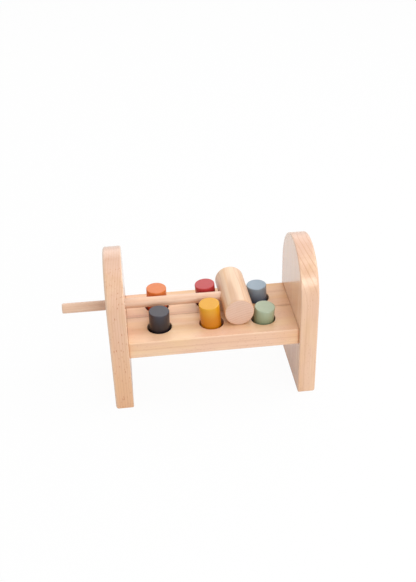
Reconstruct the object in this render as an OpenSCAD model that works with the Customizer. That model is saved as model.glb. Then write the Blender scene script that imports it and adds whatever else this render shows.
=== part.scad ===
// Peg pounding bench: a board with six painted pegs between two arched end panels,
// with its mallet stored through the left panel.
// X runs along the bench to the right, Y to the back and Z up.
// The origin is on the floor, in the middle of the bench's footprint.

/* [Bench] */
// Thickness of the panels and of the board
stock_t = 22; // [20:0.5:25]
// Length over the outer faces of the end panels
bench_l = 250; // [245:1:280]
// Depth of the end panels, front to back
panel_d = 120; // [116:1:140]
// Height of the end panels at the top of the arch
panel_h = 188.5; // [182:0.5:210]
// Rounding of the panels' outer edges
panel_outer_r = 3; // [1.5:0.5:4]
// Rounding of the panels' inner edges
panel_inner_r = 1.5; // [0.5:0.5:3]
// How far the board is set back from the panels' front and back edges
board_inset = 6; // [3:0.5:9]
// Height of the board's top above the floor
board_top = 93; // [84:1:95]
// Rounding of the board's long edges
board_edge_r = 1.5; // [0.5:0.5:2.5]

/* [Pegs] */
// How much more wood is left between two columns of holes than at the ends of the board
column_extra = 10; // [6:0.5:14]
// Distance of each row of holes from the middle of the board
row_y = 23.5; // [22:0.5:26]
// Diameter of the peg holes
hole_dia = 30; // [29:0.5:30.5]
// Chamfer at the mouths of the holes
hole_edge = 0.6; // [0.2:0.1:1]
// Diameter of the pegs
peg_dia = 25; // [24:0.5:25.5]
// Length of the pegs
peg_len = 50; // [48:1:56]
// Rounding of the pegs' ends
peg_edge_r = 1; // [0.4:0.2:2]
// How far the orange peg stands out of the board, along its own axis
orange_out = 26.5; // [5:0.5:34]
// How far the red peg stands out of the board
red_out = 27; // [5:0.5:34]
// How far the blue peg stands out of the board
blue_out = 19; // [5:0.5:34]
// How far the charcoal peg stands out of the board
charcoal_out = 23.5; // [5:0.5:34]
// How far the mustard peg stands out of the board
mustard_out = 29.5; // [5:0.5:34]
// How far the sage peg stands out of the board
sage_out = 18; // [5:0.5:34]

/* [Mallet] */
// Space between the stored head and the upright pegs on each side of it
head_play = 1.5; // [1.2:0.1:3]
// Length of the mallet's head
head_len = 80; // [70:1:84]
// Rounding of the head's ends
head_edge_r = 1.6; // [0.6:0.2:3]
// Diameter of the handle
handle_dia = 12.5; // [11:0.5:14]
// Length of the handle from its free end to the middle of the head
handle_reach = 212; // [180:1:230]
// Rounding of the handle's ends
handle_edge_r = 1.4; // [0.4:0.2:3]
// Diameter of the storage bore in the left panel
bore_dia = 30; // [26:0.5:34]
// Rise of the stored handle, from the head's middle to the storage bore's inner edge
handle_rise = 3.25; // [1:0.25:6]
// Turn of the stored mallet, seen from above, in degrees
mallet_turn = 1.7; // [1:0.1:2.4]

/* [Grip rings and dowels] */
// Thickness of the rubber grip rings
ring_wire = 4; // [3:0.25:4.5]
// Diameter of the dowel pins
dowel_dia = 8; // [6:0.5:10]
// Wood left between the dowel pins and the peg holes
hole_wall = 6; // [4:0.5:8]
// Wood left between the dowel pins and the panels' outer faces
panel_wall = 10; // [7:0.5:13]

/* [Hidden] */
$fn = 96;

// Lean of each peg to the right and to the back, in degrees
orange_angles = [0.5, 0];
red_angles = [-4.5, 0];
blue_angles = [-1.5, 1];
charcoal_angles = [1, -1];
mustard_angles = [-4, -3];
sage_angles = [3.5, -3];
all_angles = [orange_angles, red_angles, blue_angles, charcoal_angles, mustard_angles, sage_angles];
// The greatest lean of any peg, which every grip ring has room for, in degrees
greatest_angle = max([for (angles = all_angles) acos(cos(angles.x) * cos(angles.y))]);

// Play of a peg in its grip ring
ring_play = 0.06;
// Play of a ring in its groove and of a dowel or handle in its glued bore
glue_gap = 0.05;
// Gap under the stored mallet, at the board and in the storage bore
rest_gap = 0.35;
// Glue space past the end of a blind bore
bore_spare = 1;
// How far a cutting shape runs past the face that it cuts
overrun = 1;

// Panels and board
arch_r = panel_d / 2;
shoulder_z = panel_h - arch_r;
inner_x = bench_l / 2 - stock_t;
board_l = inner_x * 2;
board_low = board_top - stock_t;
board_mid = board_top - stock_t / 2;
stave_w = arch_r - board_inset;

// Peg holes and their rings: three columns spread over the board, with two gaps between them
column_count = 3;
end_wood = (board_l - hole_dia * column_count - column_extra * (column_count - 1)) / (column_count + 1);
hole_pitch = hole_dia + end_wood + column_extra;
hole_r = hole_dia / 2;
peg_r = peg_dia / 2;
wire_r = ring_wire / 2;
ring_r = (peg_r + wire_r) / cos(greatest_angle) + ring_play;

// Dowels: their places across the board, front to back, as shares of a stave's width from the seam
dowel_shares = [-0.78, -0.22, 0.22, 0.78];
dowel_r = dowel_dia / 2;
dowel_in_board = end_wood - hole_wall;
dowel_in_panel = stock_t - panel_wall;
dowel_len = dowel_in_board + dowel_in_panel;

// Stored mallet: the head lies on the board and the handle on the storage bore's inner edge
head_dia = hole_pitch - peg_dia - head_play * 2;
head_r = head_dia / 2;
handle_r = handle_dia / 2;
bore_r = bore_dia / 2;
// The head lies midway between two columns of pegs, and to the back by a share of the handle's room
// in the aisle between the rows
aisle_share = 1.05;
head_x = hole_pitch / 2;
head_y = (row_y - peg_r - handle_r) * aisle_share;
head_z = board_top + head_r + rest_gap;
bore_z = head_z + handle_rise - handle_r - rest_gap + bore_r;
mallet_pitch = atan(handle_rise / (head_x + inner_x));
tenon_share = 0.45;
tenon_past = head_r * tenon_share;

// The corner left outside a quarter circle, for rounding a corner at the origin
module corner_waste(r) {
    difference() {
        translate([-overrun, -overrun]) square(r + overrun);
        translate([r, r]) circle(r);
    }
}

// A rectangle from the origin, with a rounding for each corner that has one
module rounded_rect(size, low_left = 0, low_right = 0, top_left = 0, top_right = 0) {
    difference() {
        square(size);
        if (low_left > 0) corner_waste(low_left);
        if (low_right > 0) translate([size.x, 0]) mirror([1, 0]) corner_waste(low_right);
        if (top_left > 0) translate([0, size.y]) mirror([0, 1]) corner_waste(top_left);
        if (top_right > 0) translate(size) rotate(180) corner_waste(top_right);
    }
}

// A round bar standing on the origin, with rounded rims
module round_bar(r, length, rim) {
    rotate_extrude() rounded_rect([r, length], low_right = rim, top_right = rim);
}

// An arched panel with its inner face at X zero and its outer face at the stock's thickness
module arched_panel() {
    translate([0, 0, shoulder_z])
        rotate([90, 0, 90])
            rotate_extrude(angle = 180)
                rounded_rect([arch_r, stock_t], low_right = panel_inner_r, top_right = panel_outer_r);
    intersection() {
        linear_extrude(shoulder_z)
            translate([0, -arch_r])
                rounded_rect(
                    [stock_t, panel_d],
                    low_left = panel_inner_r, top_left = panel_inner_r,
                    low_right = panel_outer_r, top_right = panel_outer_r
                );
        translate([0, arch_r + overrun])
            rotate([90, 0, 0])
                linear_extrude(panel_d + overrun * 2)
                    rounded_rect(
                        [stock_t, shoulder_z],
                        low_left = panel_inner_r, low_right = panel_inner_r
                    );
    }
}

// Blind bores along +X for the dowels of one end, from the face where the board meets the panel
module dowel_bores(depth) {
    for (share = dowel_shares)
        translate([-overrun, stave_w * share, board_mid])
            rotate([0, 90, 0])
                cylinder(r = dowel_r + glue_gap, h = depth + bore_spare + overrun);
}

module panel_with_bores() {
    difference() {
        arched_panel();
        dowel_bores(dowel_in_panel);
    }
}

module left_end_panel() {
    color("#dfb088")
        difference() {
            translate([-inner_x, 0, 0]) mirror([1, 0, 0]) panel_with_bores();
            translate([-bench_l / 2 - overrun, 0, bore_z])
                rotate([0, 90, 0])
                    cylinder(r = bore_r, h = stock_t + overrun * 2);
        }
}

module right_end_panel() {
    color("#dfb088") translate([inner_x, 0, 0]) panel_with_bores();
}

// A peg hole with eased mouths and the groove that holds its grip ring
module peg_hole() {
    translate([0, 0, board_low - overrun]) cylinder(r = hole_r, h = stock_t + overrun * 2);
    translate([0, 0, board_top - hole_edge])
        cylinder(r1 = hole_r, r2 = hole_r + hole_edge + overrun, h = hole_edge + overrun);
    translate([0, 0, board_low - overrun])
        cylinder(r1 = hole_r + hole_edge + overrun, r2 = hole_r, h = hole_edge + overrun);
    translate([0, 0, board_mid]) rotate_extrude() translate([ring_r, 0]) circle(wire_r + glue_gap);
}

// One stave of the board, on the side of the seam that the sign names
module stave(side) {
    difference() {
        translate([-inner_x, 0, board_low])
            mirror([0, side < 0 ? 1 : 0, 0])
                rotate([90, 0, 90])
                    linear_extrude(inner_x * 2)
                        rounded_rect([stave_w, stock_t], low_right = board_edge_r, top_right = board_edge_r);
        for (column = [-1:1]) translate([hole_pitch * column, row_y * side, 0]) peg_hole();
        translate([-inner_x, 0, 0]) dowel_bores(dowel_in_board);
        translate([inner_x, 0, 0]) mirror([1, 0, 0]) dowel_bores(dowel_in_board);
    }
}

module front_stave() {
    color("#e6bb92") stave(-1);
}

module rear_stave() {
    color("#e6bb92") stave(1);
}

// Moves a shape to the middle of a peg's hole, where its grip ring is
module at_hole(column, row) {
    translate([hole_pitch * column, row_y * row, board_mid]) children();
}

// A peg in its hole, leaning about the middle of its grip ring
module peg(column, row, out, angles, paint) {
    color(paint)
        at_hole(column, row)
            rotate([-angles.y, angles.x, 0])
                translate([0, 0, stock_t / 2 + out - peg_len])
                    round_bar(peg_r, peg_len, peg_edge_r);
}

module grip_ring(column, row) {
    color("#1d1c1c") at_hole(column, row) rotate_extrude() translate([ring_r, 0]) circle(wire_r);
}

// A dowel pin at the left or right end, numbered from the front of the board
module dowel(side, i) {
    color("#d9a878")
        mirror([side < 0 ? 1 : 0, 0, 0])
            translate([inner_x - dowel_in_board, stave_w * dowel_shares[i], board_mid])
                rotate([0, 90, 0])
                    cylinder(r = dowel_r, h = dowel_len);
}

// Moves a shape from the mallet's own frame, whose origin is the head's middle, to where it is stored
module stored() {
    translate([head_x, head_y, head_z]) rotate([0, mallet_pitch, mallet_turn]) children();
}

module mallet_head() {
    color("#e9c39c")
        stored()
            difference() {
                rotate([90, 0, 0]) translate([0, 0, -head_len / 2]) round_bar(head_r, head_len, head_edge_r);
                translate([-head_r - overrun, 0, 0])
                    rotate([0, 90, 0])
                        cylinder(r = handle_r + glue_gap, h = head_r + tenon_past + bore_spare + overrun);
            }
}

module mallet_handle() {
    color("#e9c39c")
        stored()
            translate([-handle_reach, 0, 0])
                rotate([0, 90, 0])
                    round_bar(handle_r, handle_reach + tenon_past, handle_edge_r);
}

left_end_panel();
right_end_panel();
front_stave();
rear_stave();
peg(-1, 1, orange_out, orange_angles, "#e0753f");  // peg_orange
peg(0, 1, red_out, red_angles, "#b0383c");  // peg_red
peg(1, 1, blue_out, blue_angles, "#74808d");  // peg_blue
peg(-1, -1, charcoal_out, charcoal_angles, "#4a474b");  // peg_charcoal
peg(0, -1, mustard_out, mustard_angles, "#e2a63a");  // peg_mustard
peg(1, -1, sage_out, sage_angles, "#a9b192");  // peg_sage
grip_ring(-1, 1);  // grip_ring_orange
grip_ring(0, 1);  // grip_ring_red
grip_ring(1, 1);  // grip_ring_blue
grip_ring(-1, -1);  // grip_ring_charcoal
grip_ring(0, -1);  // grip_ring_mustard
grip_ring(1, -1);  // grip_ring_sage
dowel(-1, 0);  // dowel_left_1
dowel(-1, 1);  // dowel_left_2
dowel(-1, 2);  // dowel_left_3
dowel(-1, 3);  // dowel_left_4
dowel(1, 0);  // dowel_right_1
dowel(1, 1);  // dowel_right_2
dowel(1, 2);  // dowel_right_3
dowel(1, 3);  // dowel_right_4
mallet_head();
mallet_handle();
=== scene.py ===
"""Dresses the peg pounding bench: beech panels and board, painted pegs, grip rings and the mallet.

Sizes are written in millimetres, as on a maker's drawing, and each skin is put down in metres.
X runs along the bench to the right, Y to the back and Z up, from the middle of the footprint.
"""

import logging
import math
from dataclasses import dataclass, field
from enum import Enum
from typing import Any, ClassVar

import bmesh
import bpy
import numpy as np
from mathutils import Matrix, Vector


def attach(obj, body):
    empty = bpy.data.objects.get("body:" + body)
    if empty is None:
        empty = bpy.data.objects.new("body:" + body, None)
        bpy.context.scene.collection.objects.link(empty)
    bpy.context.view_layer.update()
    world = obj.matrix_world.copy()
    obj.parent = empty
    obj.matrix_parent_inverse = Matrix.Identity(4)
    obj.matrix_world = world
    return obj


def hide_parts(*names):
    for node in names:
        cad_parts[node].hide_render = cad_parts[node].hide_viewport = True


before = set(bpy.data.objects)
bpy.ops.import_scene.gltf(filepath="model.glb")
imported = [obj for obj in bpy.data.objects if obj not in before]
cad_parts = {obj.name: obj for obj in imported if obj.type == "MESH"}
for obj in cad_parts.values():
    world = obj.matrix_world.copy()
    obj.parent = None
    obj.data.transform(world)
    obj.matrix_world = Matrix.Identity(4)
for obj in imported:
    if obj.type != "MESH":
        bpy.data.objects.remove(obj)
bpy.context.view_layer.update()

LOG = logging.getLogger("bench")
MM = 0.001
WELD = 2e-6
EDGE = "edge"
BUMP_STRENGTH = 0.5
WHITE = (1.0, 1.0, 1.0)
INNER_X = 103.0
BOARD_LOW, BOARD_TOP = 71.0, 93.0
BOARD_MIDDLE = (BOARD_LOW + BOARD_TOP) / 2
HOLE_PITCH, HOLE_ROW = 64.0, 23.5
GRIP_R = 14.605
BAR_RIM_ROWS = 7
BAR_END_SHARES = np.array([0.0, 0.5, 0.9, 0.985])
CURVE_KNEE, CURVE_SLOPE, CURVE_LIFT, CURVE_POWER = 0.04045, 12.92, 0.055, 2.4

Array = np.ndarray
Socket = bpy.types.NodeSocket
Colour = tuple[float, float, float]
Place = tuple[float, float, float]
Span = tuple[float, float]
Shares = tuple[float, ...]


def written(red: int, green: int, blue: int) -> Colour:
    """Turns a colour as it is written, from 0 to 255, into scene light.

    Args:
        red, green, blue: The written colour.

    Returns:
        The colour in scene light, by the display curve worked backwards.
    """
    share = np.array([red, green, blue]) / 255
    bent = ((share + CURVE_LIFT) / (1 + CURVE_LIFT)) ** CURVE_POWER
    light = np.where(share <= CURVE_KNEE, share / CURVE_SLOPE, bent)
    return tuple(float(value) for value in light)


class Grain(Enum):
    """The direction of the wood's fibres, as the order of axes that puts them last."""

    ALONG = (1, 2, 0)
    DEEP = (2, 0, 1)
    UPRIGHT = (0, 1, 2)


@dataclass(frozen=True)
class Noise:
    """A soft noise: its fineness across and along the fibres, detail, shift and the span that shows."""

    across: float
    along: float
    detail: float
    shift: float
    low: float = 0.0
    high: float = 1.0


class Graph:
    """The node graph of a material or world, with short calls for the nodes that the finishes use."""

    def __init__(self, owner: bpy.types.Material | bpy.types.World) -> None:
        """Empties the graph.

        Args:
            owner: The material or world.
        """
        owner.use_nodes = True
        self.owner = owner
        self.tree = owner.node_tree
        self.tree.nodes.clear()

    def node(self, kind: str, values: dict[Any, Any] | None = None, **settings: Any) -> bpy.types.Node:
        """Adds a node.

        Args:
            kind: The node's type.
            values: What goes into its sockets, by name or place: another socket or a plain value.
            settings: The node's own settings.

        Returns:
            The node.
        """
        node = self.tree.nodes.new(kind)
        for key, value in settings.items():
            setattr(node, key, value)
        for key, value in (values or {}).items():
            if isinstance(value, Socket):
                self.tree.links.new(value, node.inputs[key])
            elif node.inputs[key].type == "RGBA":
                node.inputs[key].default_value = (*value, 1.0)
            else:
                node.inputs[key].default_value = value
        return node

    def math(self, operation: str, a: Socket | float, b: Socket | float = 0.0) -> Socket:
        """Joins two numbers by one operation.

        Args:
            operation: The operation's name.
            a, b: The numbers.

        Returns:
            The result's socket.
        """
        return self.node("ShaderNodeMath", {0: a, 1: b}, operation=operation).outputs[0]

    def ramp(self, value: Socket, gain: float, base: float) -> Socket:
        """Gives the base and a gain times the value."""
        return self.node("ShaderNodeMath", {0: value, 1: gain, 2: base}, operation="MULTIPLY_ADD").outputs[0]

    def span(self, value: Socket, low: float, high: float) -> Socket:
        """Runs smoothly from 0 to 1 as the value goes from low to high."""
        values = {"Value": value, "From Min": low, "From Max": high}
        return self.node("ShaderNodeMapRange", values, interpolation_type="SMOOTHSTEP").outputs[0]

    def fall(self, value: Socket, low: float, high: float) -> Socket:
        """Runs smoothly from 1 to 0 as the value goes from low to high."""
        return self.math("SUBTRACT", 1.0, self.span(value, low, high))

    def blend(self, share: Socket, first: Socket | Colour, second: Socket | Colour) -> Socket:
        """Mixes two colours by a share of the second."""
        return self.node("ShaderNodeMix", {0: share, 6: first, 7: second}, data_type="RGBA").outputs[2]

    def tint(self, colour: Socket | Colour, mask: Socket, share: float, second: Colour) -> Socket:
        """Mixes a share of a second colour into the first where the mask is."""
        return self.blend(self.math("MULTIPLY", mask, share), colour, second)

    def vector(self, operation: str, *places: Socket | Place) -> Socket:
        """Joins up to three places by one operation."""
        return self.node("ShaderNodeVectorMath", dict(enumerate(places)), operation=operation).outputs[0]

    def length(self, place: Socket) -> Socket:
        """Gives how far a place lies from the origin."""
        return self.node("ShaderNodeVectorMath", {0: place}, operation="LENGTH").outputs["Value"]

    def stretch(self, vector: Socket, across: float, along: float) -> Socket:
        """Scales a place in the wood by one amount across the fibres and another along them."""
        return self.vector("MULTIPLY", vector, (across, across, along))

    def cloud(self, place: Socket, noise: Noise, shift: float = 0.0) -> bpy.types.Node:
        """Makes soft random values at a place, shifted so that no two uses are alike.

        Args:
            place: The place in the piece.
            noise: The noise.
            shift: The piece's own shift.

        Returns:
            The noise node.
        """
        moved = shift + noise.shift
        spread = self.vector("ADD", self.stretch(place, noise.across, noise.along), (moved, moved, moved))
        return self.node("ShaderNodeTexNoise", {"Vector": spread, "Scale": 1.0, "Detail": noise.detail})

    def patches(self, place: Socket, noise: Noise, shift: float = 0.0) -> Socket:
        """Gives the span of a noise that shows, from 0 to 1."""
        return self.span(self.cloud(place, noise, shift).outputs[0], noise.low, noise.high)

    def edge(self) -> Socket:
        """Reads how far a point lies on an eased edge: up to 1 in the open, down to -1 in a joint or in a
        peg's painted shade.
        """
        return self.node("ShaderNodeAttribute", attribute_name=EDGE).outputs["Fac"]

    def eased(self) -> Socket:
        """Gives how far a point lies on an eased edge in the open."""
        return self.math("MAXIMUM", self.edge(), 0.0)

    def inward(self) -> Socket:
        """Gives how far a point lies in a joint, or how far a peg's painted shade has darkened its side."""
        return self.math("MAXIMUM", self.math("MULTIPLY", self.edge(), -1.0), 0.0)

    def place(self, grain: Grain) -> Socket:
        """Gives the place in the piece in millimetres, with the fibres' direction last.

        Args:
            grain: The fibres' direction.

        Returns:
            The place's socket.
        """
        where = self.node("ShaderNodeTexCoord").outputs["Object"]
        scaled = self.node("ShaderNodeVectorMath", {0: where, "Scale": 1 / MM}, operation="SCALE").outputs[0]
        parts = self.node("ShaderNodeSeparateXYZ", {0: scaled}).outputs
        order = {i: parts[axis] for i, axis in enumerate(grain.value)}
        return self.node("ShaderNodeCombineXYZ", order).outputs[0]

    def facing(self, axis: int) -> Socket:
        """Gives how squarely the surface faces along an axis, from 0 beside it to 1 straight along it."""
        normal = self.node("ShaderNodeTexCoord").outputs["Normal"]
        parts = self.node("ShaderNodeSeparateXYZ", {0: normal}).outputs
        return self.math("ABSOLUTE", parts[axis])

    def close(
        self, colour: Socket, roughness: Socket, height: Socket, depth: float, **values: float | Shares
    ) -> bpy.types.Material:
        """Joins colour, roughness and bump in the shader.

        Args:
            colour: The surface's colour.
            roughness: Its roughness.
            height: The bump's height, from 0 to 1.
            depth: The bump's depth in millimetres.
            values: Uniform values for the shader's own sockets, with underscores for spaces.

        Returns:
            The finished material.
        """
        relief = {"Height": height, "Strength": BUMP_STRENGTH, "Distance": depth * MM}
        bump = self.node("ShaderNodeBump", relief)
        shader = self.node(
            "ShaderNodeBsdfPrincipled",
            {"Base Color": colour, "Roughness": roughness, "Normal": bump.outputs[0]},
        )
        for name, value in values.items():
            shader.inputs[name.replace("_", " ")].default_value = value
        self.node("ShaderNodeOutputMaterial", {0: shader.outputs[0]})
        return self.owner


@dataclass(frozen=True)
class Beech:
    """Lacquered beech: growth rings round a pith line, fibres, ray flecks, end grain and paler eased edges.

    Places are in millimetres in the order of the grain's axes. Calm is how much weaker the rings show on
    the wide faces, and front_calm on the upright edges. The warm span is where the wood turns warmer along
    its fibres, from the first place to the second; on the staves it is painted shade towards the right
    panel. Sheen is the tint of the fibres' gloss.
    """

    name: str
    grain: Grain
    pith: Span
    shift: float
    ring_gap: float = 6.4
    ring_share: float = 0.4
    wave: float = 5.0
    calm: float = 0.0
    front_calm: float = 0.0
    fleck_share: float = 0.25
    fleck_gap: float = 1.7
    gloss: float = 0.3
    lacquer: float = 0.3
    lacquer_rough: float = 0.16
    warm_span: Span = (400.0, 500.0)
    streak: Place = (0.0, 93.0, 95.0)
    streak_reach: Place = (4.5, 4.0, 14.0)
    streak_share: float = 0.0
    sheen: Colour = (1.0, 0.86, 0.7)
    light: Colour = written(243, 204, 168)
    deep: Colour = written(233, 187, 145)
    rose: Colour = written(234, 188, 160)
    ring: Colour = written(204, 148, 112)
    fleck: Colour = written(184, 118, 84)
    warm: Colour = written(234, 178, 122)
    end: Colour = written(216, 174, 150)
    pale: Colour = written(250, 226, 202)
    shade: Colour = written(128, 76, 46)
    bump: float = 0.004

    SHAKE: ClassVar[Noise] = Noise(0.03, 0.008, 2.0, 0.0)
    BANDS: ClassVar[Noise] = Noise(0.1, 0.005, 2.0, 3.1, 0.32, 0.68)
    BLUSH: ClassVar[Noise] = Noise(0.045, 0.012, 2.0, 7.7, 0.38, 0.66)
    FIBRE: ClassVar[Noise] = Noise(0.9, 0.03, 3.0, 11.3, 0.35, 0.7)
    LATE_WOOD: ClassVar[Span] = (0.62, 0.94)
    YEAR_END: ClassVar[Span] = (0.95, 1.0)
    YEAR_RANGE: ClassVar[Span] = (0.6, 0.4)
    FRONT_FACING: ClassVar[Span] = (0.84, 0.99)
    END_FACING: ClassVar[Span] = (0.72, 0.99)
    FLECK_SHAPE: ClassVar[float] = 0.28
    FLECK_RIM: ClassVar[Span] = (0.14, 0.3)
    FLECK_PICK: ClassVar[Span] = (0.35, 0.6)
    FLECK_GROUP: ClassVar[Span] = (0.7, 0.3)
    STREAK_RIM: ClassVar[Span] = (0.25, 1.0)
    ROSE_SHARE: ClassVar[float] = 0.7
    WARM_SHARE: ClassVar[float] = 0.5
    END_SHARE: ClassVar[float] = 0.8
    FIBRE_SHARE: ClassVar[float] = 0.12
    EASED_SHARE: ClassVar[float] = 0.22
    JOINT_SHARE: ClassVar[float] = 0.75
    FIBRE_ROUGH: ClassVar[float] = 0.02
    END_ROUGH: ClassVar[float] = 0.12
    FLECK_SINK: ClassVar[float] = 0.8
    RING_SINK: ClassVar[float] = 0.4

    def rings(self, g: Graph, place: Socket) -> Socket:
        """Works out the growth rings.

        A ring line lies where the distance from the pith line, shaken by a soft noise, passes a whole
        number of ring gaps. It deepens slowly and ends at once, and each year has its own strength.

        Args:
            g: The material's graph.
            place: The place in the wood.

        Returns:
            How strongly a ring shows, from 0 to 1.
        """
        from_pith = g.vector("SUBTRACT", place, (*self.pith, 0.0))
        shaken = g.cloud(place, self.SHAKE, self.shift).outputs["Color"]
        centred = g.vector("SUBTRACT", shaken, (0.5, 0.5, 0.5))
        waved = g.vector("MULTIPLY_ADD", centred, (self.wave, self.wave, 0.0), from_pith)
        count = g.math("DIVIDE", g.length(g.vector("MULTIPLY", waved, (1.0, 1.0, 0.0))), self.ring_gap)
        rise = g.math("FRACT", count)
        line = g.math("MULTIPLY", g.span(rise, *self.LATE_WOOD), g.fall(rise, *self.YEAR_END))
        year = g.node("ShaderNodeTexWhiteNoise", {"W": g.math("FLOOR", count)}, noise_dimensions="1D")
        strength = g.ramp(year.outputs["Value"], *self.YEAR_RANGE)
        wide, front, _ = self.grain.value
        plain = g.ramp(g.facing(wide), -self.calm, 1.0)
        upright = g.ramp(g.span(g.facing(front), *self.FRONT_FACING), -self.front_calm, 1.0)
        return g.math("MULTIPLY", g.math("MULTIPLY", line, strength), g.math("MULTIPLY", plain, upright))

    def flecks(self, g: Graph, place: Socket, blush: Socket) -> Socket:
        """Works out the ray flecks: some of the cells along the fibres, more of them where the blush is.

        Args:
            g: The material's graph.
            place: The place in the wood.
            blush: Where the wood is rosy.

        Returns:
            How strongly a fleck shows, from 0 to 1.
        """
        spread = g.stretch(place, 1 / self.fleck_gap, self.FLECK_SHAPE / self.fleck_gap)
        cells = g.node("ShaderNodeTexVoronoi", {"Vector": spread, "Scale": 1.0})
        lens = g.fall(cells.outputs["Distance"], *self.FLECK_RIM)
        chosen = g.node("ShaderNodeSeparateColor", {0: cells.outputs["Color"]}).outputs[0]
        picked = g.math("MULTIPLY", lens, g.span(chosen, *self.FLECK_PICK))
        return g.math("MULTIPLY", picked, g.ramp(blush, *self.FLECK_GROUP))

    def material(self) -> bpy.types.Material:
        """Makes the wood's material.

        Returns:
            The material.
        """
        g = Graph(bpy.data.materials.new(self.name))
        place = g.place(self.grain)
        rings = self.rings(g, place)
        bands = g.patches(place, self.BANDS, self.shift)
        blush = g.patches(place, self.BLUSH, self.shift)
        fibre = g.patches(place, self.FIBRE, self.shift)
        flecks = self.flecks(g, place, blush)
        across = g.span(g.facing(self.grain.value[2]), *self.END_FACING)
        along = g.node("ShaderNodeSeparateXYZ", {0: place}).outputs[2]
        off_streak = g.vector("DIVIDE", g.vector("SUBTRACT", place, self.streak), self.streak_reach)

        colour = g.blend(bands, self.light, self.deep)
        colour = g.tint(colour, blush, self.ROSE_SHARE, self.rose)
        # Warmer along the fibres over the warm span: on the staves, painted shade towards the right panel.
        colour = g.tint(colour, g.span(along, *self.warm_span), self.WARM_SHARE, self.warm)
        colour = g.tint(colour, across, self.END_SHARE, self.end)
        colour = g.tint(colour, rings, self.ring_share, self.ring)
        colour = g.tint(colour, fibre, self.FIBRE_SHARE, self.ring)
        colour = g.tint(colour, flecks, self.fleck_share, self.fleck)
        colour = g.tint(colour, g.fall(g.length(off_streak), *self.STREAK_RIM), self.streak_share, self.fleck)
        colour = g.tint(colour, g.eased(), self.EASED_SHARE, self.pale)
        colour = g.tint(colour, g.inward(), self.JOINT_SHARE, self.shade)

        rough = g.ramp(fibre, self.FIBRE_ROUGH, self.gloss)
        rough = g.math("ADD", rough, g.math("MULTIPLY", across, self.END_ROUGH))
        height = g.math("SUBTRACT", fibre, g.math("MULTIPLY", flecks, self.FLECK_SINK))
        height = g.math("SUBTRACT", height, g.math("MULTIPLY", rings, self.RING_SINK))
        return g.close(
            colour, rough, height, self.bump,
            Coat_Weight=self.lacquer, Coat_Roughness=self.lacquer_rough, Specular_Tint=(*self.sheen, 1.0),
        )


@dataclass(frozen=True)
class Paint:
    """Satin paint on a turned peg: faint fibres, thin rims and painted shade that darkens its side towards
    the middle.
    """

    name: str
    coat: Colour
    thin: Colour
    painted_shade: Colour
    shift: float
    gloss: float = 0.3
    lacquer: float = 0.08
    lacquer_rough: float = 0.24
    bump: float = 0.012

    FIBRE: ClassVar[Noise] = Noise(0.7, 0.05, 3.0, 0.0, 0.3, 0.7)
    MOTTLE: ClassVar[Noise] = Noise(0.12, 0.07, 3.0, 5.3, 0.3, 0.7)
    PEEL: ClassVar[Noise] = Noise(1.6, 1.6, 1.0, 9.1, 0.35, 0.75)
    MOTTLE_SHARE: ClassVar[float] = 0.1
    FIBRE_SHARE: ClassVar[float] = 0.07
    SHADE_SHARE: ClassVar[float] = 0.85
    RIM_SHARE: ClassVar[float] = 0.35
    MOTTLE_ROUGH: ClassVar[float] = 0.1
    FIBRE_RISE: ClassVar[float] = 0.6
    PEEL_RISE: ClassVar[float] = 0.5

    def material(self) -> bpy.types.Material:
        """Makes the paint's material.

        Returns:
            The material.
        """
        g = Graph(bpy.data.materials.new(self.name))
        place = g.place(Grain.UPRIGHT)
        fibre = g.patches(place, self.FIBRE, self.shift)
        mottle = g.patches(place, self.MOTTLE, self.shift)
        peel = g.cloud(place, self.PEEL, self.shift).outputs[0]
        rim = g.math("MULTIPLY", g.eased(), g.span(peel, self.PEEL.low, self.PEEL.high))
        colour = g.tint(self.coat, mottle, self.MOTTLE_SHARE, self.thin)
        colour = g.tint(colour, fibre, self.FIBRE_SHARE, self.thin)
        # Painted shade: the peg's side turns darker towards its middle, down to where it enters the hole.
        colour = g.tint(colour, g.inward(), self.SHADE_SHARE, self.painted_shade)
        colour = g.tint(colour, rim, self.RIM_SHARE, self.thin)
        rough = g.ramp(mottle, self.MOTTLE_ROUGH, self.gloss)
        raised = g.math("MULTIPLY", fibre, self.FIBRE_RISE)
        height = g.math("ADD", raised, g.math("MULTIPLY", peel, self.PEEL_RISE))
        return g.close(
            colour, rough, height, self.bump, Coat_Weight=self.lacquer, Coat_Roughness=self.lacquer_rough
        )


@dataclass(frozen=True)
class Rubber:
    """Dull black rubber with a faint bloom."""

    name: str = "ring_rubber"
    dark: Colour = written(26, 24, 24)
    bloom: Colour = written(58, 54, 52)
    rough: float = 0.6
    bump: float = 0.05

    DUST: ClassVar[Noise] = Noise(0.5, 0.5, 3.0, 0.0, 0.4, 0.8)
    PORES: ClassVar[Noise] = Noise(3.0, 3.0, 2.0, 4.0)
    BLOOM_SHARE: ClassVar[float] = 0.5
    DUST_ROUGH: ClassVar[float] = 0.15

    def material(self) -> bpy.types.Material:
        """Makes the rubber's material.

        Returns:
            The material.
        """
        g = Graph(bpy.data.materials.new(self.name))
        place = g.place(Grain.UPRIGHT)
        dust = g.patches(place, self.DUST)
        pores = g.cloud(place, self.PORES).outputs[0]
        colour = g.tint(self.dark, dust, self.BLOOM_SHARE, self.bloom)
        return g.close(colour, g.ramp(dust, self.DUST_ROUGH, self.rough), pores, self.bump)


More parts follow.
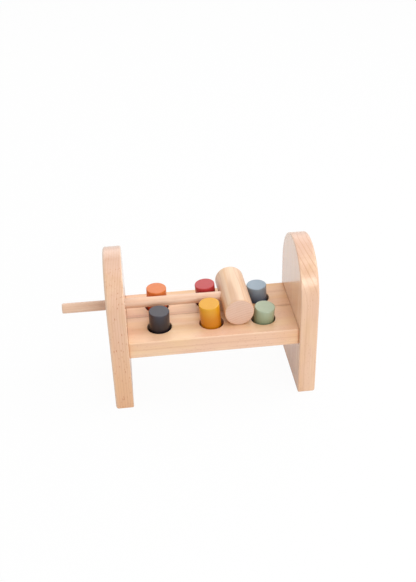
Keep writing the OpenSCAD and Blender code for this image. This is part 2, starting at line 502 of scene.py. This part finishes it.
class Skin:
    """A closed skin that is welded from grids of points."""

    def __init__(self, name: str) -> None:
        """Starts an empty skin.

        Args:
            name: The piece's name.
        """
        self.name = name
        self.points: list[Array] = []
        self.edges: list[Array] = []
        self.faces: list[Array] = []
        self.count = 0

    def grid(self, points: Array, edge: Array | float = 0.0, ring: bool = False) -> None:
        """Adds a grid, each cell of which becomes a face.

        Args:
            points: Rows by columns of points.
            edge: How far each row lies on an eased edge.
            ring: Whether the last column joins the first.
        """
        rows, columns = points.shape[:2]
        index = np.arange(rows * columns).reshape(rows, columns) + self.count
        if ring:
            index = np.concatenate([index, index[:, :1]], axis=1)
        quads = np.stack([index[:-1, :-1], index[:-1, 1:], index[1:, 1:], index[1:, :-1]], axis=-1)
        self.points.append(points.reshape(-1, 3))
        self.edges.append(np.broadcast_to(np.reshape(edge, (-1, 1)), (rows, columns)).ravel())
        self.faces.append(quads.reshape(-1, 4))
        self.count += rows * columns

    def build(self) -> bpy.types.Object:
        """Welds the grids, turns the faces outwards and puts the skin into the scene.

        Returns:
            The piece.
        """
        mesh = bpy.data.meshes.new(self.name)
        mesh.from_pydata(np.concatenate(self.points) * MM, [], np.concatenate(self.faces).tolist())
        eased = mesh.attributes.new(EDGE, "FLOAT", "POINT")
        eased.data.foreach_set("value", np.concatenate(self.edges).astype(np.float32))
        skin = bmesh.new()
        skin.from_mesh(mesh)
        bmesh.ops.remove_doubles(skin, verts=skin.verts, dist=WELD)
        bmesh.ops.recalc_face_normals(skin, faces=skin.faces)
        skin.to_mesh(mesh)
        skin.free()
        mesh.polygons.foreach_set("use_smooth", np.ones(len(mesh.polygons), bool))
        piece = bpy.data.objects.new(self.name, mesh)
        bpy.context.scene.collection.objects.link(piece)
        return piece


def dress(piece: bpy.types.Object, material: bpy.types.Material, body: str, node: str) -> None:
    """Gives a piece its finish, the body that carries it and the solid that it stands for.

    Args:
        piece: The piece.
        material: Its finish.
        body: The body that it moves with.
        node: The solid that it replaces.
    """
    piece.data.materials.append(material)
    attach(piece, body)
    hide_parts(node)
    LOG.info("%s: %d faces on %s", piece.name, len(piece.data.polygons), body)


def spin(axis: str, degrees: float) -> Array:
    """Gives the matrix that turns points about an axis."""
    return np.array(Matrix.Rotation(math.radians(degrees), 3, axis))


def quarter(count: int) -> tuple[Array, Array, Array]:
    """Gives a quarter circle's sines, cosines and edge shares, from the first side to the second."""
    angle = np.linspace(0, math.pi / 2, count)
    return np.sin(angle), np.cos(angle), np.sin(2 * angle)


def rounds(radius: Array, height: Array, sides: int) -> Array:
    """Carries a profile round the Z axis.

    Each profile point becomes a circle of its radius at its height.

    Args:
        radius, height: The profile.
        sides: Points round the circle.

    Returns:
        Rows by columns of points.
    """
    angle = np.linspace(0, 2 * math.pi, sides, endpoint=False)
    x = radius[:, None] * np.cos(angle)
    y = radius[:, None] * np.sin(angle)
    return np.stack([x, y, np.broadcast_to(height[:, None], x.shape)], axis=-1)


def rectangle(a: Array, b: Array) -> Array:
    """Goes round a rectangle's rim by the divisions of its two sides.

    Args:
        a, b: The places along the first side and the second.

    Returns:
        Points by (first, second), each corner once.
    """
    return np.concatenate([
        np.stack([a[:-1], 0 * a[:-1] + b[0]], -1),
        np.stack([0 * b[:-1] + a[-1], b[:-1]], -1),
        np.stack([a[:0:-1], 0 * a[:0:-1] + b[-1]], -1),
        np.stack([0 * b[:0:-1] + a[0], b[:0:-1]], -1),
    ])


def bar_profile(radius: float, length: float, rim: float, rows: int) -> tuple[Array, Array, Array]:
    """Gives half the outline of a round bar with rounded rims, from the middle of one end to the other.

    Args:
        radius, length, rim: The bar's sizes.
        rows: Rows along its side.

    Returns:
        The radius, the height and the edge share of each point.
    """
    sine, cosine, edge = quarter(BAR_RIM_ROWS)
    core = radius - rim
    flat = core * BAR_END_SHARES
    side = np.linspace(rim, length - rim, rows + 2)[1:-1]
    r = np.concatenate([flat, core + rim * sine, np.full(rows, radius), core + rim * cosine, flat[::-1]])
    z = np.concatenate([0 * flat, rim - rim * cosine, side, length - rim + rim * sine, 0 * flat + length])
    share = np.concatenate([0 * flat, edge, 0 * side, edge, 0 * flat])
    return r, z, share


@dataclass
class EndPanel:
    """One arched end panel, with rounded edges and, on the left, the storage bore."""

    name: str
    side: int
    finish: Beech
    bore_r: float = 0.0
    centre_z: float = 95.0
    stock: float = 22.0
    depth: float = 120.0
    height: float = 188.5
    inner_r: float = 1.5
    outer_r: float = 3.0
    foot_r: float = 1.0
    corner_share: float = 0.16
    bore_ease: float = 0.8
    face_margin: float = 0.5
    divisions: tuple[int, int, int, int] = (36, 6, 40, 132)
    edge_rows: int = 8
    band_rows: int = 10
    wall_rows: int = 8

    FACE_STEPS: ClassVar[Shares] = (0.0, 0.03, 0.15, 0.3, 0.45, 0.6, 0.75, 0.9, 1.0)

    def outline(self, inset: Array) -> Array:
        """Works out the arch's outline, moved in by each inset.

        The outline is a flat foot, a small corner, a straight side, half a circle, the other side and
        the other corner, each divided evenly.

        Args:
            inset: How far each outline is moved in.

        Returns:
            Insets by points by (Y, Z).
        """
        d = np.asarray(inset, float)[:, None]
        half = self.depth / 2 - d
        shoulder = self.height - self.depth / 2
        corner = self.foot_r - self.corner_share * d
        foot, bend, rise, arch = (np.linspace(0, 1, n, endpoint=False)[None] for n in self.divisions)
        low = d + corner
        down, up = (bend - 1) * math.pi / 2, math.pi * (1 + bend / 2)
        y = [
            (2 * foot - 1) * (half - corner),
            half - corner + corner * np.cos(down),
            half + 0 * rise,
            half * np.cos(math.pi * arch),
            -half + 0 * rise,
            corner - half + corner * np.cos(up),
        ]
        z = [
            d + 0 * foot,
            low + corner * np.sin(down),
            low + (shoulder - low) * rise,
            shoulder + half * np.sin(math.pi * arch),
            shoulder + (low - shoulder) * rise,
            low + corner * np.sin(up),
        ]
        return np.stack([np.concatenate(y, axis=1), np.concatenate(z, axis=1)], axis=-1)

    def build(self) -> bpy.types.Object:
        """Carries the rounded edge's profile round the outline and closes both faces to the bore or middle.

        Returns:
            The panel.
        """
        sine, cosine, share = quarter(self.edge_rows)
        band = np.linspace(self.inner_r, self.stock - self.outer_r, self.band_rows)[1:-1]
        depth = np.concatenate([self.inner_r * (1 - cosine), band, self.stock - self.outer_r * (1 - sine)])
        inset = np.concatenate([self.inner_r * (1 - sine), 0 * band, self.outer_r * (1 - cosine)])
        edge = np.concatenate([share, 0 * band, share])
        rim = self.outline(inset)

        middle = np.array([0.0, self.centre_z])
        reach = self.outline([0.0])[0] - middle
        reach /= np.linalg.norm(reach, axis=1, keepdims=True)
        mouth = middle + reach * (self.bore_r + self.bore_ease if self.bore_r else 0.0)
        steps = np.array(self.FACE_STEPS)[:, None, None]
        inner = mouth + (self.outline([self.inner_r + self.face_margin])[0] - mouth) * steps
        outer = mouth + (self.outline([self.outer_r + self.face_margin])[0] - mouth) * steps[::-1]
        rows = [inner, rim, outer]
        depths = [np.zeros(len(steps)), depth, np.full(len(steps), self.stock)]
        edges = [np.zeros(len(steps)), edge, np.zeros(len(steps))]
        if self.bore_r:
            ease = self.bore_ease
            wall = np.linspace(self.stock - ease, ease, self.wall_rows)[1:-1]
            radius = self.bore_r + np.concatenate([ease * (1 - sine), 0 * wall, ease * (1 - cosine)])
            rows.append(middle + reach * radius[:, None, None])
            depths.append(np.concatenate([self.stock - ease * (1 - cosine), wall, ease * (1 - sine)]))
            edges.append(np.concatenate([share, 0 * wall, share]))
        flat = np.concatenate(rows)
        x = self.side * (INNER_X + np.concatenate(depths))
        skin = Skin(self.name)
        points = np.concatenate([np.broadcast_to(x[:, None, None], (*flat.shape[:2], 1)), flat], axis=-1)
        skin.grid(points, np.concatenate(edges), ring=True)
        return skin.build()


@dataclass
class Stave:
    """One stave of the board, with three peg holes and an eased seam."""

    name: str
    side: int
    width: float = 54.0
    edge_r: float = 1.5
    seam_ease: float = 0.35
    end_ease: float = 0.25
    hole_r: float = 15.0
    hole_ease: float = 0.6
    groove_r: float = 2.05
    across: int = 26
    columns: tuple[int, int, int] = (36, 32, 36)
    mouth_rows: int = 5
    wall_rows: int = 5
    groove_rows: int = 17
    edge_rows: int = 6
    side_rows: int = 8

    FACE_STEPS: ClassVar[Shares] = (1.0, 0.97, 0.8, 0.6, 0.4, 0.2, 0.06)

    def cell(self, x0: float, x1: float, columns: int, hole_x: float) -> tuple[Array, Array, Array]:
        """Works out the part of a stave round one hole.

        Lines run from the rectangle's rim to the hole's mouth, over its rounded edge, down its wall, through
        the round groove that seats the grip ring, and back out over the underside.

        Args:
            x0, x1: The rectangle's ends.
            columns: Its divisions along X.
            hole_x: The hole's middle.

        Returns:
            The grid, its edge shares, and the rim's places along X.
        """
        q0, q1 = self.seam_ease, self.width - self.edge_r
        x, q = np.linspace(x0, x1, columns + 1), np.linspace(q0, q1, self.across + 1)
        rim = rectangle(x, q)
        middle = np.array([hole_x, HOLE_ROW])
        reach = (rim - middle) / np.linalg.norm(rim - middle, axis=1, keepdims=True)
        sine, cosine, share = quarter(self.mouth_rows)
        steps = np.array(self.FACE_STEPS)[:, None, None]
        mouth = middle + reach * (self.hole_r + self.hole_ease)
        face = mouth + (rim - mouth) * steps
        lip = math.acos((self.hole_r - GRIP_R) / self.groove_r)
        turn = np.linspace(lip, -lip, self.groove_rows)
        groove = GRIP_R + self.groove_r * np.cos(turn) - self.hole_r
        seat = BOARD_MIDDLE + self.groove_r * np.sin(turn)
        above = np.linspace(BOARD_TOP - self.hole_ease, seat[0], self.wall_rows)[1:-1]
        below = np.linspace(seat[-1], BOARD_LOW + self.hole_ease, self.wall_rows)[1:-1]
        wall = np.concatenate([above, seat, below])
        sunk = np.concatenate([0 * above, groove, 0 * below])
        radius = self.hole_r + np.concatenate([
            self.hole_ease * (1 - sine), sunk, self.hole_ease * (1 - cosine)
        ])
        height = np.concatenate([
            BOARD_TOP - self.hole_ease * (1 - cosine), wall, BOARD_LOW + self.hole_ease * (1 - sine)
        ])
        flat = np.concatenate([face, middle + reach * radius[:, None, None], face[::-1]])
        z = np.concatenate([np.full(len(steps), BOARD_TOP), height, np.full(len(steps), BOARD_LOW)])
        edge = np.concatenate([np.zeros(len(steps)), share, 0 * wall, share, np.zeros(len(steps))])
        points = np.concatenate([flat, np.broadcast_to(z[:, None, None], (*flat.shape[:2], 1))], axis=-1)
        return points, edge, x

    def build(self) -> bpy.types.Object:
        """Joins the cells round the holes with the front, seam and end faces.

        The long faces are profiles carried along X, and each end face is ruled between the two profiles.

        Returns:
            The stave.
        """
        skin = Skin(self.name)
        turned = np.array([1.0, self.side, 1.0])
        end = INNER_X - self.end_ease
        cuts = [-end, -HOLE_PITCH / 2, HOLE_PITCH / 2, end]
        along: list[Array] = []
        for i, columns in enumerate(self.columns):
            points, edge, x = self.cell(cuts[i], cuts[i + 1], columns, (i - 1) * HOLE_PITCH)
            skin.grid(points * turned, edge, ring=True)
            along.append(x[:-1])
        x = np.concatenate([*along, [end]])

        sine, cosine, share = quarter(self.edge_rows)
        side = np.linspace(0, 1, self.side_rows)[1:-1]

        def profile(ease: float, base: float, way: int) -> tuple[Array, Array]:
            """Gives a long edge's profile, from the top face round to the underside."""
            first, last = ease * (1 - sine), ease * (1 - cosine)
            tall = BOARD_TOP - BOARD_LOW - 2 * ease
            q = np.concatenate([base - way * first, 0 * side + base, base - way * last])
            z = np.concatenate([BOARD_TOP - last, BOARD_TOP - ease - tall * side, BOARD_LOW + first])
            return q, z

        front_q, front_z = profile(self.edge_r, self.width, 1)
        seam_q, seam_z = profile(self.seam_ease, 0.0, -1)
        shrink = np.concatenate([self.end_ease * (1 - sine), 0 * side, self.end_ease * (1 - cosine)])
        reach = INNER_X - shrink
        edge = np.concatenate([share, 0 * side, share])
        for q, z, way in ((front_q, front_z, 1), (seam_q, seam_z, -1)):
            long_x = x[None] * (reach / end)[:, None]
            points = np.stack([long_x, 0 * long_x + q[:, None], 0 * long_x + z[:, None]], -1)
            skin.grid(points * turned, way * edge)
        u = np.linspace(0, 1, self.across + 1)[None]
        end_q = seam_q[:, None] + (front_q - seam_q)[:, None] * u
        end_z = seam_z[:, None] + (front_z - seam_z)[:, None] * u
        for way in (-1, 1):
            end_x = np.broadcast_to(way * reach[:, None], end_q.shape)
            skin.grid(np.stack([end_x, end_q, end_z], -1) * turned, -edge)
        return skin.build()


@dataclass
class Bench:
    """The bench itself: two end panels and a board of two staves."""

    left: EndPanel = field(default_factory=lambda: EndPanel(
        "left_panel", -1, Beech(
            "beech_left_panel", Grain.UPRIGHT, (-330.0, 0.0), 2.0,
            ring_gap=3.0, ring_share=0.45, wave=3.0, calm=0.6, fleck_share=0.85, fleck_gap=2.1,
            gloss=0.24, lacquer=1.0, warm_span=(135.0, 10.0),
            light=written(237, 197, 163), deep=written(230, 186, 148), fleck=written(192, 112, 72),
        ), bore_r=15.0, centre_z=123.0))
    right: EndPanel = field(default_factory=lambda: EndPanel(
        "right_panel", 1, Beech(
            "beech_right_panel", Grain.UPRIGHT, (192.0, 3.0), 5.0,
            ring_gap=5.2, ring_share=0.55, wave=3.0, calm=0.7, front_calm=0.6, fleck_share=0.4, fleck_gap=1.4,
            gloss=0.2, lacquer=0.7, lacquer_rough=0.26,
            light=written(240, 203, 171), deep=written(231, 188, 150), rose=written(232, 189, 163),
            ring=written(196, 138, 100), pale=written(238, 204, 178),
        )))
    # Both staves turn warmer towards their right ends: painted warm shade next to the right panel.
    staves: tuple[tuple[Stave, Beech], ...] = (
        (Stave("board_front", -1), Beech(
            "beech_front_stave", Grain.ALONG, (-30.0, -40.0), 9.0,
            ring_gap=7.0, ring_share=0.3, fleck_share=0.4, fleck_gap=1.2,
            lacquer=0.2, lacquer_rough=0.34, warm_span=(60.0, 115.0), streak_share=0.3,
            light=written(248, 214, 178), deep=written(241, 200, 154), rose=written(239, 194, 170),
        )),
        (Stave("board_rear", 1), Beech(
            "beech_rear_stave", Grain.ALONG, (70.0, -20.0), 13.0,
            ring_gap=6.0, ring_share=0.35, fleck_share=0.4, fleck_gap=1.2,
            lacquer=0.2, lacquer_rough=0.34, warm_span=(20.0, 110.0), streak_share=0.3,
            light=written(246, 210, 172), deep=written(238, 194, 148), rose=written(236, 190, 164),
        )),
    )

    def build(self) -> None:
        """Builds and dresses the panels and staves."""
        for panel, node in ((self.left, "left_end_panel"), (self.right, "right_end_panel")):
            dress(panel.build(), panel.finish.material(), "bench", node)
        for (stave, wood), node in zip(self.staves, ("front_stave", "rear_stave")):
            dress(stave.build(), wood.material(), "bench", node)


@dataclass
class Peg:
    """One painted peg, leaning in its hole, and the grip ring round it."""

    colour: str
    column: int
    row: int
    out: float
    lean_right: float
    lean_back: float
    paint: Paint
    radius: float = 12.5
    length: float = 50.0
    rim: float = 1.0
    shade_depth: float = 16.0
    wire_r: float = 2.0
    rows: int = 16
    sides: int = 96
    wire_points: int = 25

    def hole(self) -> Array:
        """Gives the middle of the peg's hole, where its grip ring is."""
        return np.array([self.column * HOLE_PITCH, self.row * HOLE_ROW, BOARD_MIDDLE])

    def build(self) -> bpy.types.Object:
        """Turns the peg's profile round its axis and leans it about the ring's middle.

        Returns:
            The peg.
        """
        radius, height, edge = bar_profile(self.radius, self.length, self.rim, self.rows)
        # Below each end's rim the edge share falls to -1 over the shade depth: painted shade down the peg's
        # side.
        from_end = np.minimum(height, self.length - height)
        edge = edge - np.clip((from_end - self.rim) / self.shade_depth, 0, 1)
        height = height + BOARD_TOP - BOARD_MIDDLE + self.out - self.length
        lean = spin("Y", self.lean_right) @ spin("X", -self.lean_back)
        skin = Skin(f"{self.colour}_peg_skin")
        skin.grid(rounds(radius, height, self.sides) @ lean.T + self.hole(), edge, ring=True)
        return skin.build()

    def build_ring(self) -> bpy.types.Object:
        """Carries the wire's circle round the ring's circle.

        Returns:
            The ring.
        """
        angle = np.linspace(0, 2 * math.pi, self.wire_points)
        radius = GRIP_R + self.wire_r * np.cos(angle)
        skin = Skin(f"{self.colour}_ring_skin")
        skin.grid(rounds(radius, self.wire_r * np.sin(angle), self.sides) + self.hole(), ring=True)
        return skin.build()


@dataclass
class PegSet:
    """The six pegs and their grip rings."""

    # Each Paint's third colour is the painted shade down its peg's side.
    pegs: tuple[Peg, ...] = (
        Peg("orange", -1, 1, 26.5, 0.5, 0.0,
            Paint("paint_orange", written(217, 116, 48), written(238, 168, 118), written(184, 66, 20), 1.0)),
        Peg("red", 0, 1, 27.0, -4.5, 0.0,
            Paint("paint_red", written(182, 40, 46), written(206, 96, 94), written(108, 10, 14), 2.0)),
        Peg("blue", 1, 1, 19.0, -1.5, 1.0,
            Paint("paint_blue", written(146, 167, 184), written(182, 196, 206), written(68, 90, 124), 3.0)),
        Peg("charcoal", -1, -1, 23.5, 1.0, -1.0,
            Paint("paint_charcoal", written(46, 42, 52), written(88, 84, 92), written(26, 20, 28), 4.0)),
        Peg("mustard", 0, -1, 29.5, -4.0, -3.0,
            Paint("paint_mustard", written(224, 158, 4), written(240, 198, 92), written(208, 124, 8), 5.0)),
        Peg("sage", 1, -1, 18.0, 3.5, -3.0,
            Paint("paint_sage", written(167, 181, 153), written(198, 208, 188), written(142, 155, 120), 6.0)),
    )
    rubber: Rubber = Rubber()

    def build(self) -> None:
        """Builds and dresses each peg and its ring."""
        rubber = self.rubber.material()
        for peg in self.pegs:
            dress(peg.build(), peg.paint.material(), f"{peg.colour}_peg", f"peg_{peg.colour}")
            dress(peg.build_ring(), rubber, "bench", f"grip_ring_{peg.colour}")


@dataclass
class Mallet:
    """The stored mallet: a turned head on a round handle."""

    place: Place = (32.0, 4.9875, 111.35)
    turn: float = 1.7
    rise: float = 3.25
    head_r: float = 18.0
    head_l: float = 80.0
    head_rim: float = 1.6
    handle_r: float = 6.25
    handle_reach: float = 212.0
    handle_rim: float = 1.4
    tenon: float = 8.1
    glue_gap: float = 0.05
    spare: float = 1.0
    patch: float = 70.0
    patch_points: tuple[int, int] = (41, 45)
    socket_points: int = 6
    back_points: int = 90
    rim_rows: int = 8
    handle_rows: int = 60
    handle_sides: int = 72
    head_wood: Beech = Beech(
        "beech_head", Grain.DEEP, (-32.0, 76.0), 17.0,
        ring_gap=3.3, ring_share=0.46, wave=7.0, fleck_share=0.1, gloss=0.38, lacquer=0.15,
        light=written(240, 210, 180), deep=written(231, 186, 140), rose=written(240, 206, 178),
        ring=written(192, 138, 108), end=written(226, 190, 172), pale=written(206, 152, 112),
    )
    handle_wood: Beech = Beech(
        "beech_handle", Grain.ALONG, (-20.0, 95.0), 21.0, ring_gap=6.0, ring_share=0.25, fleck_share=0.15,
        light=written(241, 211, 187), deep=written(233, 197, 168), rose=written(233, 194, 168),
    )

    SIDE_STEPS: ClassVar[Shares] = (
        1.0, 0.9, 0.8, 0.7, 0.6, 0.5, 0.4, 0.3, 0.2, 0.12, 0.06, 0.02, 0.0
    )
    END_SHARES: ClassVar[Shares] = (0.985, 0.9, 0.7, 0.5, 0.3, 0.0)

    def stored(self, points: Array) -> Array:
        """Moves points from the mallet's own frame to where it is stored.

        Args:
            points: Points from the head's middle, with the handle along -X.

        Returns:
            The points on the bench.
        """
        pitch = math.degrees(math.atan(self.rise / (self.place[0] + INNER_X)))
        return points @ (spin("Z", self.turn) @ spin("Y", pitch)).T + np.array(self.place)

    def on_head(self, arc: Array, y: Array) -> Array:
        """Puts an angle from the handle's side, and a place along the head, onto the head's side."""
        return np.stack([-self.head_r * np.cos(arc), y, self.head_r * np.sin(arc)], -1)

    def build_head(self) -> bpy.types.Object:
        """Builds the head as a bar with a socket for the handle.

        Round the socket, lines run from a rectangle on the head's side to the curve where the handle
        enters, and down the socket's wall to its end. The rest of the side is a plain grid, and each end
        is a rounded rim that closes to the middle.

        Returns:
            The head.
        """
        skin = Skin("mallet_head_skin")
        half, y_end = math.radians(self.patch), self.head_l / 2 - self.head_rim
        arc, y = (np.linspace(-a, a, n) for a, n in zip((half, y_end), self.patch_points))
        rim = rectangle(arc, y)
        way = np.arctan2(rim[:, 0] * self.head_r, rim[:, 1])
        socket = self.handle_r + self.glue_gap
        mouth = np.stack([np.arcsin(socket * np.sin(way) / self.head_r), socket * np.cos(way)], -1)
        flat = mouth + (rim - mouth) * np.array(self.SIDE_STEPS)[:, None, None]
        inside = np.linspace(0, 1, self.socket_points)[1:, None]
        start = -self.head_r * np.cos(mouth[:, 0])
        depth = start + (self.tenon + self.spare - start) * inside
        wall = np.stack([depth, 0 * depth + mouth[:, 1], 0 * depth + socket * np.sin(way)], -1)
        bottom = wall[-1:] * np.array([1.0, 0.0, 0.0])
        side = self.on_head(flat[..., 0], flat[..., 1])
        skin.grid(self.stored(np.concatenate([side, wall, bottom])), ring=True)

        rest = np.linspace(half, 2 * math.pi - half, self.back_points)
        skin.grid(self.stored(self.on_head(*np.meshgrid(rest, y, indexing="ij"))))
        sine, cosine, share = quarter(self.rim_rows)
        whole = np.concatenate([arc[:-1], rest[:-1]])
        flat_r = (self.head_r - self.head_rim) * np.array(self.END_SHARES)
        radius = np.concatenate([self.head_r - self.head_rim * (1 - cosine), flat_r])
        out = np.concatenate([y_end + self.head_rim * sine, 0 * flat_r + self.head_l / 2])
        edge = np.concatenate([share, 0 * flat_r])
        for end in (-1, 1):
            cap = np.stack([
                -radius[:, None] * np.cos(whole),
                np.broadcast_to(end * out[:, None], (len(out), len(whole))),
                radius[:, None] * np.sin(whole),
            ], -1)
            skin.grid(self.stored(cap), edge, ring=True)
        return skin.build()

    def build_handle(self) -> bpy.types.Object:
        """Turns the handle's profile round its axis, from the free end to the socket.

        Returns:
            The handle.
        """
        length = self.handle_reach + self.tenon
        radius, height, edge = bar_profile(self.handle_r, length, self.handle_rim, self.handle_rows)
        points = rounds(radius, height - self.handle_reach, self.handle_sides)[..., [2, 0, 1]]
        skin = Skin("mallet_handle_skin")
        skin.grid(self.stored(points), edge, ring=True)
        return skin.build()

    def build(self) -> None:
        """Builds and dresses the head and the handle."""
        dress(self.build_head(), self.head_wood.material(), "mallet", "mallet_head")
        dress(self.build_handle(), self.handle_wood.material(), "mallet", "mallet_handle")


@dataclass
class Dowels:
    """The dowel pins inside the joints, which keep their solids and get a plain wood."""

    wood: Beech = Beech("beech_dowels", Grain.ALONG, (0.0, 40.0), 25.0, light=written(226, 184, 142))

    def build(self) -> None:
        """Dresses each pin."""
        material = self.wood.material()
        for name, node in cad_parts.items():
            if name.startswith("dowel_"):
                node.data.materials.clear()
                node.data.materials.append(material)
                LOG.info("%s: dressed", name)


@dataclass
class Lamp:
    """One soft box, which gives a plain level of light from its whole face."""

    name: str
    place: Place
    size: Span
    level: float
    tint: Colour = WHITE

    def build(self, aim: Vector) -> None:
        """Hangs the lamp and points it.

        Args:
            aim: The point that it shines at.
        """
        data = bpy.data.lights.new(self.name, "AREA")
        data.shape = "RECTANGLE"
        data.size, data.size_y = self.size
        data.energy = self.level * math.pi * self.size[0] * self.size[1]
        data.color = self.tint
        lamp = bpy.data.objects.new(self.name, data)
        lamp.location = self.place
        lamp.rotation_euler = (aim - Vector(self.place)).to_track_quat("-Z", "Y").to_euler()
        bpy.context.scene.collection.objects.link(lamp)


@dataclass
class Studio:
    """A white sweep, soft lamps and the camera."""

    eye: Place = (-86.23, -865.66, 683.87)
    yaw: float = 0.0982
    pitch: float = 0.5722
    roll: float = -0.0294
    focal_px: float = 841.2
    frame_px: float = 582.0
    sensor: float = 36.0
    clip_end: float = 50.0
    aim: Place = (0.0, 0.0, 0.09)
    floor_half: float = 6.0
    paper: Colour = written(240, 240, 240)
    white_share: float = 0.955
    gloss_share: float = 0.25
    world_level: float = 0.59
    lamps: tuple[Lamp, ...] = (
        Lamp("key", (0.52, -1.34, 0.82), (0.9, 0.55), 4.5, (0.97, 0.99, 1.0)),
        Lamp("right", (0.95, 0.0, 1.2), (1.0, 1.0), 1.9),
        Lamp("overhead", (0.3, 0.2, 1.5), (1.4, 1.4), 0.75),
        Lamp("back", (0.0, 1.7, 1.25), (2.4, 1.2), 0.9),
    )

    def build_world(self) -> None:
        """Makes a world that looks white and lights at a plain level."""
        world = bpy.data.worlds.new("sweep")
        g = Graph(world)
        shown = self.seen(g, g.node("ShaderNodeLightPath"))
        level = g.node("ShaderNodeMapRange", {"Value": shown, "To Min": self.world_level, "To Max": 1.0})
        light = g.node("ShaderNodeBackground", {"Color": WHITE, "Strength": level.outputs[0]})
        g.node("ShaderNodeOutputWorld", {0: light.outputs[0]})
        bpy.context.scene.world = world

    @staticmethod
    def seen(g: Graph, path: bpy.types.Node) -> Socket:
        """Joins the rays that see the background: from the camera, a gloss or a clear surface.

        Args:
            g: The graph.
            path: Its light path node.

        Returns:
            A socket that is 1 for those rays.
        """
        last = path.outputs["Is Camera Ray"]
        for name in ("Is Glossy Ray", "Is Transmission Ray"):
            last = g.math("MAXIMUM", last, path.outputs[name])
        return last

    def build_floor(self) -> None:
        """Lays the floor, which looks white and keeps a soft shadow."""
        mesh = bpy.data.meshes.new("floor")
        corners = np.array([[-1, -1, 0], [1, -1, 0], [1, 1, 0], [-1, 1, 0]]) * self.floor_half
        mesh.from_pydata(corners, [], [[0, 1, 2, 3]])
        floor = bpy.data.objects.new("floor", mesh)
        bpy.context.scene.collection.objects.link(floor)
        g = Graph(bpy.data.materials.new("sweep_paper"))
        path = g.node("ShaderNodeLightPath")
        near = g.math("MULTIPLY", path.outputs["Is Camera Ray"], self.white_share)
        mirrored = g.math("MULTIPLY", self.seen(g, path), self.gloss_share)
        share = g.math("MAXIMUM", near, mirrored)
        paper = g.node("ShaderNodeBsdfDiffuse", {"Color": self.paper})
        white = g.node("ShaderNodeEmission", {"Color": WHITE, "Strength": 1.0})
        mixed = g.node("ShaderNodeMixShader", {0: share, 1: paper.outputs[0], 2: white.outputs[0]})
        g.node("ShaderNodeOutputMaterial", {0: mixed.outputs[0]})
        mesh.materials.append(g.owner)

    def build_camera(self) -> None:
        """Sets the camera from its place, its three angles and its focal length in picture points."""
        forward = Vector((
            math.sin(self.yaw) * math.cos(self.pitch),
            math.cos(self.yaw) * math.cos(self.pitch),
            -math.sin(self.pitch),
        ))
        right = Vector((math.cos(self.yaw), -math.sin(self.yaw), 0.0))
        up = right.cross(forward)
        c, s = math.cos(self.roll), math.sin(self.roll)
        axes = Matrix((c * right + s * up, c * up - s * right, -forward)).transposed()
        data = bpy.data.cameras.new("camera")
        data.sensor_fit = "VERTICAL"
        data.sensor_height = self.sensor
        data.lens = self.focal_px / self.frame_px * self.sensor
        data.clip_end = self.clip_end
        camera = bpy.data.objects.new("camera", data)
        camera.matrix_world = Matrix.Translation(Vector(self.eye) * MM) @ axes.to_4x4()
        bpy.context.scene.collection.objects.link(camera)
        bpy.context.scene.camera = camera

    def build(self) -> None:
        """Builds the world, floor, lamps and camera."""
        self.build_world()
        self.build_floor()
        for lamp in self.lamps:
            lamp.build(Vector(self.aim))
        self.build_camera()
        bpy.context.scene.view_settings.view_transform = "Standard"


def main() -> None:
    """Builds the bench, pegs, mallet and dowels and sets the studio."""
    logging.basicConfig(level=logging.INFO, format="%(name)s: %(message)s")
    for assembly in (Bench(), PegSet(), Mallet(), Dowels(), Studio()):
        assembly.build()


if __name__ == "__main__":
    main()
